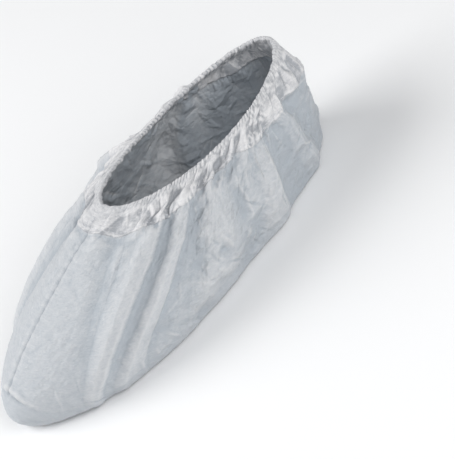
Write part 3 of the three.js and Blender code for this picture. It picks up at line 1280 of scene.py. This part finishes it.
class FibreGroup:
    """The node group that every cloth shares: a web of fibres, soft blotches of density and fine creases.

    Each strand of the web has an angle in radians and a stretch. Each layer of creases has the number of
    times that it is finer than the crease scale, and its height in cells.
    """

    NAME = "nonwoven web"
    SCALES = ("Fibre Scale", "Blotch Scale", "Crease Scale")
    RESULTS = ("Fibres", "Blotches", "Creases", "Height")
    STRANDS = ((0.35, 3.5), (1.25, 3.0), (2.3, 4.0))
    STRAND_NOISE = {"Detail": 2.0, "Distortion": 0.6}
    BLOTCH_NOISE = {"Detail": 6.0, "Roughness": 0.7}
    CREASES = ((1.0, 1.0), (2.6, 0.4))

    @classmethod
    def tree(cls) -> NodeTree:
        """Build the group, unless it is there already.

        Returns:
            The group.
        """
        if cls.NAME in bpy.data.node_groups:
            return bpy.data.node_groups[cls.NAME]
        tree = bpy.data.node_groups.new(cls.NAME, "ShaderNodeTree")
        make = tree.interface.new_socket
        make("Place", in_out="INPUT", socket_type="NodeSocketVector")
        for name in cls.SCALES:
            make(name, in_out="INPUT", socket_type="NodeSocketFloat")
        for name in cls.RESULTS:
            make(name, in_out="OUTPUT", socket_type="NodeSocketFloat")
        given = tree.nodes.new("NodeGroupInput").outputs
        strands = [cls.strand(tree, given, angle, stretch) for angle, stretch in cls.STRANDS]
        web = maths(tree, "MAXIMUM", maths(tree, "MAXIMUM", *strands[:2]), strands[2])
        creases = [cls.facets(tree, given, finer, height) for finer, height in cls.CREASES]
        noise = {"Vector": given["Place"], "Scale": given["Blotch Scale"], **cls.BLOTCH_NOISE}
        blotches = add_node(tree, "ShaderNodeTexNoise", noise).outputs["Fac"]
        results = (web, blotches, maths(tree, "ADD", *creases), maths(tree, "ADD", web, blotches))
        add_node(tree, "NodeGroupOutput", dict(zip(cls.RESULTS, results)))
        return tree

    @classmethod
    def strand(
        cls, tree: NodeTree, given: NodeOutputs, angle: float, stretch: float
    ) -> NodeSocket:
        """Add fibres that run one way.

        Args:
            tree: The tree that gets the nodes.
            given: The group's inputs.
            angle: The fibres' direction, in radians.
            stretch: How many times longer than wide they are.

        Returns:
            The fibres' strength.
        """
        turn = {"Vector": given["Place"], "Rotation": (0.0, 0.0, angle), "Scale": (1.0, stretch, 1.0)}
        lay = add_node(tree, "ShaderNodeMapping", turn).outputs["Vector"]
        noise = {"Vector": lay, "Scale": given["Fibre Scale"], **cls.STRAND_NOISE}
        return add_node(tree, "ShaderNodeTexNoise", noise).outputs["Fac"]

    @staticmethod
    def facets(
        tree: NodeTree, given: NodeOutputs, finer: float, height: float
    ) -> NodeSocket:
        """Add small cells that fold up or down to a crease, each by its own amount.

        Args:
            tree: The tree that gets the nodes.
            given: The group's inputs.
            finer: How many times smaller than the crease scale the cells are.
            height: The most that a crease stands out, in cells.

        Returns:
            The height of the folded cells.
        """
        scale = maths(tree, "MULTIPLY", given["Crease Scale"], finer)
        inputs = {"Vector": given["Place"], "Scale": scale}
        edge, cell = (
            add_node(tree, "ShaderNodeTexVoronoi", inputs, voronoi_dimensions="2D", feature=feature)
            for feature in ("DISTANCE_TO_EDGE", "F1")
        )
        pick = add_node(tree, "ShaderNodeSeparateColor", {"Color": cell.outputs["Color"]})
        span = {"Value": pick.outputs["Red"], "To Min": -height, "To Max": height}
        amount = add_node(tree, "ShaderNodeMapRange", span).outputs["Result"]
        return maths(tree, "MULTIPLY", edge.outputs["Distance"], amount)


@dataclass(frozen=True)
class ClothFinish:
    """A pale nonwoven cloth with painted light: whiter on its ridges, as a painted highlight, and bluer
    and darker in its valleys, as painted shade.

    The tints say how strongly the fibres and the blotches shift the colour between the painted shade and
    the painted highlight.
    """

    name: str
    ridge: Colour
    valley_shade: Colour
    roughness: float = 0.72
    roughness_swing: float = 0.1
    fibre_span: Span = (0.3, 0.8)
    specular: float = 0.35
    sheen: float = 0.15
    sheen_roughness: float = 0.5
    fibre_scale: float = 240.0
    fibre_tint: float = 1.4
    blotch_scale: float = 130.0
    blotch_tint: float = 1.0
    tint_shift: float = 1.31
    bump: float = 0.7
    bump_depth: float = 0.5
    crease_scale: float = 110.0
    crease_bump: float = 1.0
    crease_depth: float = 4.0

    def material(self) -> Material:
        """Build the material.

        Returns:
            The new material.
        """
        material, tree, shader = new_material(self.name)
        cloth = add_node(tree, "ShaderNodeUVMap", {}, uv_map="cloth").outputs["UV"]
        scales = (self.fibre_scale, self.blotch_scale, self.crease_scale)
        inputs = {"Place": cloth, **dict(zip(FibreGroup.SCALES, scales))}
        web = add_node(tree, "ShaderNodeGroup", inputs, node_tree=FibreGroup.tree())
        fibres, blotches, creases, height = (web.outputs[name] for name in FibreGroup.RESULTS)
        raised, crumple = (
            add_node(tree, "ShaderNodeAttribute", {}, attribute_name=name).outputs["Fac"]
            for name in ("raised", "crumple")
        )
        # This share mixes the painted shade colour of the valleys with the painted highlight colour of
        # the ridges; the fibres and the blotches add the web's own tone.
        share = maths(tree, "SUBTRACT", raised, self.tint_shift)
        share = maths(tree, "MULTIPLY_ADD", fibres, self.fibre_tint, share)
        share = maths(tree, "MULTIPLY_ADD", blotches, self.blotch_tint, share)
        rough = add_node(tree, "ShaderNodeMapRange", {
            "Value": fibres,
            "From Min": self.fibre_span[0],
            "From Max": self.fibre_span[1],
            "To Min": self.roughness - self.roughness_swing,
            "To Max": self.roughness + self.roughness_swing,
        })
        under = bumped(tree, self.bump, self.bump_depth, Height=height)
        folds = maths(tree, "MULTIPLY", crumple, creases)
        set_inputs(shader, {
            "Base Color": mixed_colour(tree, self.valley_shade, self.ridge, share),
            "Roughness": rough.outputs["Result"],
            "Specular IOR Level": self.specular,
            "Sheen Weight": self.sheen,
            "Sheen Roughness": self.sheen_roughness,
            "Normal": bumped(tree, self.crease_bump, self.crease_depth, Height=folds, Normal=under),
        })
        return material


@dataclass(frozen=True)
class PlainFinish:
    """A matte finish with a fine grain, over which the colour drifts a little."""

    name: str
    light: Colour
    dark: Colour
    roughness: float
    grain_scale: float
    grain_detail: float = 3.0
    bump: float = 0.2
    bump_depth: float = 0.1

    def material(self) -> Material:
        """Build the material.

        Returns:
            The new material.
        """
        material, tree, shader = new_material(self.name)
        spot = tree.nodes.new("ShaderNodeTexCoord").outputs["Object"]
        noise = {"Vector": spot, "Scale": self.grain_scale, "Detail": self.grain_detail}
        grain = add_node(tree, "ShaderNodeTexNoise", noise).outputs["Fac"]
        set_inputs(shader, {
            "Base Color": mixed_colour(tree, self.dark, self.light, grain),
            "Roughness": self.roughness,
            "Normal": bumped(tree, self.bump, self.bump_depth, Height=grain),
        })
        return material


# Each cloth gets a painted highlight colour for its ridges and a painted shade colour for its valleys.
PANEL_CLOTH = ClothFinish("panel cloth", ridge=(0.63, 0.64, 0.655), valley_shade=(0.428, 0.463, 0.5))
SOLE_CLOTH = ClothFinish(
    "sole cloth", ridge=(0.57, 0.59, 0.615), valley_shade=(0.428, 0.463, 0.5), roughness=0.78
)
HEM_CLOTH = ClothFinish("hem cloth", ridge=(0.79, 0.782, 0.785), valley_shade=(0.385, 0.4, 0.425))
RUBBER = PlainFinish(
    "elastic rubber", light=(0.80, 0.80, 0.76), dark=(0.70, 0.70, 0.66), roughness=0.6, grain_scale=900.0
)
THREAD = PlainFinish(
    "stitch thread", light=(0.74, 0.75, 0.77), dark=(0.62, 0.63, 0.66), roughness=0.7, grain_scale=2500.0
)
FLOOR = PlainFinish(
    "pale floor", light=(0.95, 0.95, 0.95), dark=(0.935, 0.935, 0.937), roughness=0.9, grain_scale=6.0
)


@dataclass
class SidePanel:
    """One side of the cover, from the seam on top of the foot round to the seam at the heel.

    Its edges turn inwards at the seams, as a sewn cloth's edges do, and less far inside the hem.
    """

    cloth: Gathering
    side: Side
    thickness: float = 0.4
    top: int = 6
    slit: float = 0.09
    hem_turn: float = 0.5
    hem_span: Span = (18.0, 30.0)
    flat_width: float = 0.16
    flat_length: float = 0.36
    flat_area: float = 0.036

    def grid(self) -> GridMesh:
        """Cut this panel's part out of the gathered cloth and turn its edges in.

        Returns:
            The panel's grid.
        """
        form = self.cloth.form
        half = form.columns // 2
        first = 0 if self.side is Side.LEFT else half
        columns = np.arange(first, first + half + 1) % form.columns
        rows = slice(self.top, form.seam_row + 1)
        parts = (self.cloth.points, self.cloth.normals)
        points, normals = (part[rows][:, columns] for part in parts)
        across, below = (part[rows][:, first:first + half + 1] for part in self.cloth.pattern())
        raised, crumple = (part[rows][:, columns] for part in (self.cloth.raised(), self.cloth.crumple()))
        share = smoothstep(form.distances[rows][:, columns[:1]], *self.hem_span)
        share = self.hem_turn + (1.0 - self.hem_turn) * share
        layers = [part[..., None] for part in (across, below, raised, crumple)]
        grid = np.concatenate([points, normals, *layers], axis=-1)
        start = [turned_in(grid[:, :1], step * share) for step in reversed(TURN_STEPS)]
        end = [turned_in(grid[:, -1:], step * share) for step in TURN_STEPS]
        grid = np.concatenate([*start, grid, *end], axis=1)
        sign = self.side.value
        grid[..., 1] = sign * np.maximum(sign * grid[..., 1], self.slit)
        edge = grid[-1:].copy()
        rise = unit(grid[-2:-1, :, :3] - edge[..., :3]) * SEAM_GAP
        foot = [turned_in(edge, np.full((1, 1), step)) for step in TURN_STEPS]
        for row in foot:
            row[..., :3] += rise
        grid[-1:, :, :3] += rise
        grid = np.concatenate([grid, *foot])
        across, below, raised, crumple = np.moveaxis(grid[..., 6:], -1, 0)
        return GridMesh(grid[..., :3], across, below, raised, crumple, closed=False)

    def build(self, material: Material) -> Object:
        """Args:
            material: The cloth's material.

        Returns:
            The finished piece.
        """
        side = self.side.name.lower()
        piece = self.grid().build(f"{side}_side_cloth")
        piece.data.materials.append(material)
        thicken(piece, self.thickness)
        place(piece, "panel_cloth", f"{side}_panel")
        return piece


def turned_in(edge: np.ndarray, depth: np.ndarray) -> np.ndarray:
    """Copy an edge of cloth to some depth inside it.

    Args:
        edge: Grid values whose last axis holds a point, the direction out of the cloth and more.
        depth: How far inwards the copy lies, by row and column.

    Returns:
        The copy, in the same shape.
    """
    copy = edge.copy()
    copy[..., :3] -= copy[..., 3:6] * depth[..., None]
    return copy


@dataclass
class Sole:
    """The bottom sheet, with its turned-up edge and the flat that lies on the floor."""

    cloth: Gathering
    thickness: float = 0.4
    rings: int = 14
    spine_share: float = 0.8
    # The next two fields give fixed painted light to the turned-in edge and the flat bottom; below a half
    # is painted shade.
    edge_painted_light: float = 0.4
    flat_painted_light: float = 0.5
    flat_width: float = 0.17
    flat_length: float = 0.37
    flat_area: float = 0.047

    def grid(self) -> GridMesh:
        """Turn the upper edge in and add the flat bottom below the gathered cloth.

        Returns:
            The sole's grid.
        """
        form = self.cloth.form
        rows = slice(form.seam_row, None)
        wall = self.cloth.points[rows].copy()
        drop = unit(wall[1] - wall[0]) * SEAM_GAP
        wall[0] += drop
        inward = self.cloth.normals[form.seam_row]
        edge = np.array([wall[0] - inward * step for step in reversed(TURN_STEPS)])
        contact = form.points[-1]
        spine = contact * np.array([self.spine_share, 0.0, 0.0])
        shares = np.linspace(0.0, 1.0, self.rings + 1)[1:, None, None]
        flat = contact + (spine - contact) * shares
        points = np.concatenate([edge, wall, flat])
        across, below = self.cloth.pattern()
        steps = np.linalg.norm(spine - contact, axis=-1)
        steps = np.concatenate([steps, steps[:1]])
        flat_below = below[-1] + steps * shares[..., 0]
        edge_below = np.array([below[form.seam_row] - step for step in reversed(TURN_STEPS)])
        flat_across = np.repeat(across[-1:], len(points) - len(wall), axis=0)
        edge_painted_light = np.full(edge.shape[:2], self.edge_painted_light)
        flat_painted_light = np.full(flat.shape[:2], self.flat_painted_light)
        return GridMesh(
            points=points,
            across=np.concatenate([across[rows], flat_across]),
            below=np.concatenate([edge_below, below[rows], flat_below]),
            raised=np.concatenate([edge_painted_light, self.cloth.raised()[rows], flat_painted_light]),
            crumple=np.resize(self.cloth.crumple()[rows], points.shape[:2]),
            closed=True,
        )

    def build(self, material: Material) -> Object:
        """Args:
            material: The cloth's material.

        Returns:
            The finished piece.
        """
        piece = self.grid().build("sole_sheet")
        shape = bmesh.new()
        shape.from_mesh(piece.data)
        bmesh.ops.remove_doubles(shape, verts=shape.verts, dist=MERGE_DISTANCE)
        shape.to_mesh(piece.data)
        shape.free()
        piece.data.materials.append(material)
        thicken(piece, self.thickness)
        place(piece, "sole_cloth", "sole")
        return piece


@dataclass
class Hem:
    """The band round the opening: an outer wall, a rolled top over the elastic and an inner wall.

    The shifts and the roll's length set the fibres of the inner wall and the roll off from the rest.
    """

    cloth: Gathering
    thickness: float = 0.3
    outside: float = 0.55
    inside: float = 2.3
    roll_steps: int = 8
    roll_length: float = 4.0
    roll_shift: float = 5.0
    inner_shift: float = 6.0
    inner_columns: float = 9.0
    inner_squash: float = 0.3
    inner_pucker: float = 0.35
    inner_pitch: float = 5.0
    stitch_rise: float = 3.0
    stitch_press: float = 0.2
    stitch_width: float = 1.2
    stitch_proud: float = 0.1
    crumple: float = 0.3
    flat_width: float = 0.052
    flat_length: float = 0.52

    def walls(self) -> tuple[np.ndarray, np.ndarray]:
        """Shape the two walls, by row and column, from the rim down.

        Returns:
            The points of the outer wall and of the inner wall.
        """
        rows = self.cloth.form.hem_rows + 1
        distances = np.linspace(0.0, 1.0, rows)[:, None] * self.cloth.hem_edge
        points, normals = self.cloth.at(distances)
        press = distances - self.cloth.hem_edge + self.stitch_rise
        press = np.exp(-(press / self.stitch_width) ** 2)
        outer = points + normals * (self.outside - self.stitch_press * press)[..., None]
        smooth = blur_round(self.cloth.points[:rows], self.inner_columns)
        tube = self.cloth.ring_places(self.inner_squash)[:rows]
        wave = ripples(tube, self.inner_pitch, np.random.default_rng(SEED))
        inner = smooth - grid_normals(smooth) * (self.inside + self.inner_pucker * wave)[..., None]
        return outer, inner

    def grid(self) -> GridMesh:
        """Join the inner wall, the roll and the outer wall into one sheet.

        Returns:
            The hem's grid.
        """
        form = self.cloth.form
        outer, inner = self.walls()
        middle = (outer[0] + inner[0]) / 2
        half = (outer[0] - inner[0]) / 2
        rise = unit(self.cloth.points[0] - self.cloth.points[1])
        rise = rise * np.linalg.norm(half, axis=-1, keepdims=True)
        angles = np.linspace(math.pi, 0.0, self.roll_steps + 2)[1:-1]
        roll = np.array([middle + half * math.cos(angle) + rise * math.sin(angle) for angle in angles])
        points = np.concatenate([inner[::-1], roll, outer])
        rows = form.hem_rows + 1
        across, below = self.cloth.pattern()
        below = below[:rows]
        over = np.linspace(0.0, self.roll_length, self.roll_steps)[:, None]
        over = over * np.ones((1, form.columns + 1))
        raised = self.cloth.raised()[:rows]
        # The roll takes the painted light of the rim.
        top = np.repeat(raised[:1], self.roll_steps, axis=0)
        return GridMesh(
            points=points,
            across=np.repeat(across[:1], len(points), axis=0),
            below=np.concatenate([-below[::-1] - self.inner_shift, over - self.roll_shift, below]),
            raised=np.concatenate([raised[::-1], top, raised]),
            crumple=np.full(points.shape[:2], self.crumple),
            closed=True,
        )

    def build(self, material: Material) -> Object:
        """Args:
            material: The cloth's material.

        Returns:
            The finished piece.
        """
        piece = self.grid().build("hem_band")
        piece.data.materials.append(material)
        thicken(piece, self.thickness)
        place(piece, "hem_cloth", "hem")
        return piece

    def stitch_line(self) -> np.ndarray:
        """The closed line of the hem's stitches, just proud of its outer wall."""
        points, normals = self.cloth.at(self.cloth.hem_edge[None] - self.stitch_rise)
        return points[0] + normals[0] * (self.outside - self.stitch_press + self.stitch_proud)


@dataclass
class Elastic:
    """The flat rubber band that lies in the top of the hem."""

    cloth: Gathering
    top: float = 1.7
    width: float = 4.5
    face: float = 1.0
    thickness: float = 0.4
    smooth_columns: float = 6.0
    column_step: int = 2
    edge_round: float = 0.12
    edge_segments: int = 2

    def section(self) -> np.ndarray:
        """Carry the band's four corners round inside the hem.

        Returns:
            Points by corner, column and axis.
        """
        form = self.cloth.form
        smooth = blur_round(self.cloth.points[:form.hem_rows + 1], self.smooth_columns)
        away = grid_normals(smooth)
        bottom = self.top + self.width
        back = self.face + self.thickness
        corners = ((self.top, self.face), (bottom, self.face), (bottom, back), (self.top, back))
        lines = []
        for distance, depth in corners:
            row = distance / (form.hem_depth / form.hem_rows)
            low = int(row)
            share = row - low
            line = smooth[low] * (1 - share) + smooth[low + 1] * share
            lines.append(line - away[low] * depth)
        return np.array(lines)[:, ::self.column_step]

    def build(self, material: Material) -> Object:
        """Make and dress the elastic.

        Args:
            material: The rubber's material.

        Returns:
            The finished piece.
        """
        ring = self.section()
        sides, count = ring.shape[:2]
        row, column = np.meshgrid(np.arange(sides), np.arange(count), indexing="ij")
        below = (row + 1) % sides
        beside = (column + 1) % count
        corners = ((row, column), (below, column), (below, beside), (row, beside))
        faces = np.stack([line * count + spot for line, spot in corners], axis=-1).reshape(-1, 4)
        mesh = bpy.data.meshes.new("elastic_ring")
        mesh.from_pydata((ring.reshape(-1, 3) * MILLIMETRE).tolist(), [], faces.tolist())
        piece = add_object("elastic_ring", mesh)
        edge = piece.modifiers.new("edge", "BEVEL")
        edge.width = self.edge_round * MILLIMETRE
        edge.segments = self.edge_segments
        piece.data.materials.append(material)
        place(piece, "elastic_band", "elastic")
        return piece


@dataclass
class Stitching:
    """A row of thread stitches along a closed line.

    A stitch is a small ball with the given segments and rings, drawn out to its length.
    """

    line: np.ndarray
    pitch: float = 3.2
    length: float = 2.3
    diameter: float = 0.5
    segments: int = 8
    rings: int = 6
    least: float = 0.85
    greatest: float = 1.1

    def tree(self) -> NodeTree:
        """Build the node tree that lays one stitch at every step along the line.

        Returns:
            The new tree, with its inputs named Pitch, Stitch Length, Thread Diameter and Thread.
        """
        tree = bpy.data.node_groups.new("stitch row", "GeometryNodeTree")
        make = tree.interface.new_socket
        make("Geometry", in_out="INPUT", socket_type="NodeSocketGeometry")
        for name in ("Pitch", "Stitch Length", "Thread Diameter"):
            make(name, in_out="INPUT", socket_type="NodeSocketFloat")
        make("Thread", in_out="INPUT", socket_type="NodeSocketMaterial")
        make("Geometry", in_out="OUTPUT", socket_type="NodeSocketGeometry")
        given = tree.nodes.new("NodeGroupInput").outputs
        path = add_node(tree, "GeometryNodeMeshToCurve", {"Mesh": given["Geometry"]})
        line = {"Curve": path.outputs["Curve"], "Length": given["Pitch"]}
        steps = add_node(tree, "GeometryNodeCurveToPoints", line, mode="LENGTH")
        ball = {"Segments": self.segments, "Rings": self.rings, "Radius": 0.5}
        stitch = add_node(tree, "GeometryNodeMeshUVSphere", ball)
        thread = given["Thread Diameter"]
        drawn = {"X": thread, "Y": thread, "Z": given["Stitch Length"]}
        size = add_node(tree, "ShaderNodeCombineXYZ", drawn)
        span = {"Min": self.least, "Max": self.greatest, "Seed": SEED}
        vary = add_node(tree, "FunctionNodeRandomValue", span, data_type="FLOAT")
        grown = {"Vector": size.outputs["Vector"], "Scale": vary.outputs["Value"]}
        scale = add_node(tree, "ShaderNodeVectorMath", grown, operation="SCALE")
        lay = add_node(tree, "GeometryNodeInstanceOnPoints", {
            "Points": steps.outputs["Points"],
            "Instance": stitch.outputs["Mesh"],
            "Rotation": steps.outputs["Rotation"],
            "Scale": scale.outputs["Vector"],
        })
        shape = lay.outputs["Instances"]
        for kind in ("GeometryNodeRealizeInstances", "GeometryNodeSetShadeSmooth"):
            shape = add_node(tree, kind, {"Geometry": shape}).outputs["Geometry"]
        dressed = {"Geometry": shape, "Material": given["Thread"]}
        shape = add_node(tree, "GeometryNodeSetMaterial", dressed).outputs["Geometry"]
        add_node(tree, "NodeGroupOutput", {"Geometry": shape})
        return tree

    def build(self, name: str, material: Material) -> Object:
        """Lay the stitches and turn them into a plain mesh.

        Args:
            name: The piece's name.
            material: The thread's material.

        Returns:
            The finished piece.
        """
        count = len(self.line)
        edges = [(index, (index + 1) % count) for index in range(count)]
        guide_mesh = bpy.data.meshes.new(name)
        guide_mesh.from_pydata((self.line * MILLIMETRE).tolist(), edges, [])
        guide = add_object(f"{name}_guide", guide_mesh)
        tree = self.tree()
        row = guide.modifiers.new("stitches", "NODES")
        row.node_group = tree
        inputs = (item for item in tree.interface.items_tree if item.in_out == "INPUT")
        sockets = {item.name: item.identifier for item in inputs}
        row[sockets["Pitch"]] = self.pitch * MILLIMETRE
        row[sockets["Stitch Length"]] = self.length * MILLIMETRE
        row[sockets["Thread Diameter"]] = self.diameter * MILLIMETRE
        row[sockets["Thread"]] = material
        ready = guide.evaluated_get(bpy.context.evaluated_depsgraph_get())
        mesh = bpy.data.meshes.new_from_object(ready)
        bpy.data.objects.remove(guide)
        bpy.data.meshes.remove(guide_mesh)
        mesh.name = name
        piece = add_object(name, mesh)
        place(piece, "hem_cloth")
        return piece


@dataclass
class Studio:
    """The pale floor, the soft lights and the camera.

    The camera's angles are in degrees and its lengths in millimetres. The floor and lamps are in metres.
    """

    toe_swing: float = 16.144
    elevation: float = 40.474
    roll: float = -35.29
    camera_distance: float = 2000.0
    pixels_per_mm: float = 1.439
    aim: tuple[float, float, float] = (0.0, 0.0, 45.0)
    aim_right: float = 54.938
    aim_up: float = 1.735
    sensor: float = 36.0
    floor_reach: float = 6.0
    sky: float = 0.22
    sky_colour: Colour = (0.93, 0.96, 1.0)
    lamp_size: float = 1.5
    key_spot: tuple[float, float, float] = (1.1, -0.91, 1.1)
    key_power: float = 30.0
    fill_spot: tuple[float, float, float] = (-0.35, 1.3, 1.1)
    fill_power: float = 21.0

    def camera(self) -> None:
        """Stand the camera above the cover's left side, turned towards the toe."""
        swing, lift, roll = (math.radians(angle) for angle in (self.toe_swing, self.elevation, self.roll))
        reach = math.cos(lift)
        back = Vector((math.sin(swing) * reach, math.cos(swing) * reach, math.sin(lift)))
        level = Vector((0.0, 0.0, 1.0)).cross(back).normalized()
        upright = back.cross(level)
        right = level * math.cos(roll) + upright * math.sin(roll)
        up = upright * math.cos(roll) - level * math.sin(roll)
        target = Vector(self.aim) + right * self.aim_right + up * self.aim_up
        spot = (target + back * self.camera_distance) * MILLIMETRE
        lens = bpy.data.cameras.new("camera")
        lens.sensor_fit = "HORIZONTAL"
        lens.sensor_width = self.sensor
        lens.lens = self.sensor * self.pixels_per_mm * self.camera_distance / IMAGE_WIDTH
        camera = bpy.data.objects.new("camera", lens)
        turned = Matrix((right, up, back)).transposed().to_4x4()
        camera.matrix_world = Matrix.Translation(spot) @ turned
        bpy.context.scene.collection.objects.link(camera)
        bpy.context.scene.camera = camera

    def lamp(self, name: str, spot: tuple[float, float, float], power: float) -> None:
        """Hang one square soft light that faces the cover.

        Args:
            name: The light's name.
            spot: Where it hangs, in metres.
            power: Its power in watts.
        """
        data = bpy.data.lights.new(name, "AREA")
        data.size = self.lamp_size
        data.energy = power
        lamp = bpy.data.objects.new(name, data)
        lamp.location = spot
        lamp.rotation_mode = "QUATERNION"
        lamp.rotation_quaternion = (-Vector(spot)).to_track_quat("-Z", "Y")
        bpy.context.scene.collection.objects.link(lamp)

    def floor(self) -> None:
        """Lay the floor."""
        mesh = bpy.data.meshes.new("floor")
        reach = self.floor_reach
        corners = [(-reach, -reach, 0.0), (reach, -reach, 0.0), (reach, reach, 0.0), (-reach, reach, 0.0)]
        mesh.from_pydata(corners, [], [(0, 1, 2, 3)])
        mesh.materials.append(FLOOR.material())
        floor = bpy.data.objects.new("floor", mesh)
        bpy.context.scene.collection.objects.link(floor)

    def build(self) -> None:
        """Lay the floor, light the cover and set the camera."""
        self.floor()
        world = bpy.data.worlds.new("studio")
        world.use_nodes = True
        sky = next(node for node in world.node_tree.nodes if node.type == "BACKGROUND")
        set_inputs(sky, {"Color": (*self.sky_colour, 1.0), "Strength": self.sky})
        bpy.context.scene.world = world
        self.lamp("key", self.key_spot, self.key_power)
        self.lamp("fill", self.fill_spot, self.fill_power)
        bpy.context.scene.view_settings.view_transform = "Standard"
        self.camera()


def report(piece: Object) -> None:
    """Write a finished piece's name and face count to the log."""
    LOG.info("%s: %d faces", piece.name, len(piece.data.polygons))


def main() -> None:
    """Build the cover's pieces in order, then the studio."""
    logging.basicConfig(level=logging.INFO, format="%(message)s")
    cloth = Gathering(CoverForm())
    panel_cloth = PANEL_CLOTH.material()
    for side in Side:
        report(SidePanel(cloth, side).build(panel_cloth))
    report(Sole(cloth).build(SOLE_CLOTH.material()))
    hem = Hem(cloth)
    report(hem.build(HEM_CLOTH.material()))
    report(Elastic(cloth).build(RUBBER.material()))
    report(Stitching(hem.stitch_line()).build("hem_stitches", THREAD.material()))
    Studio().build()


if __name__ == "__main__":
    main()
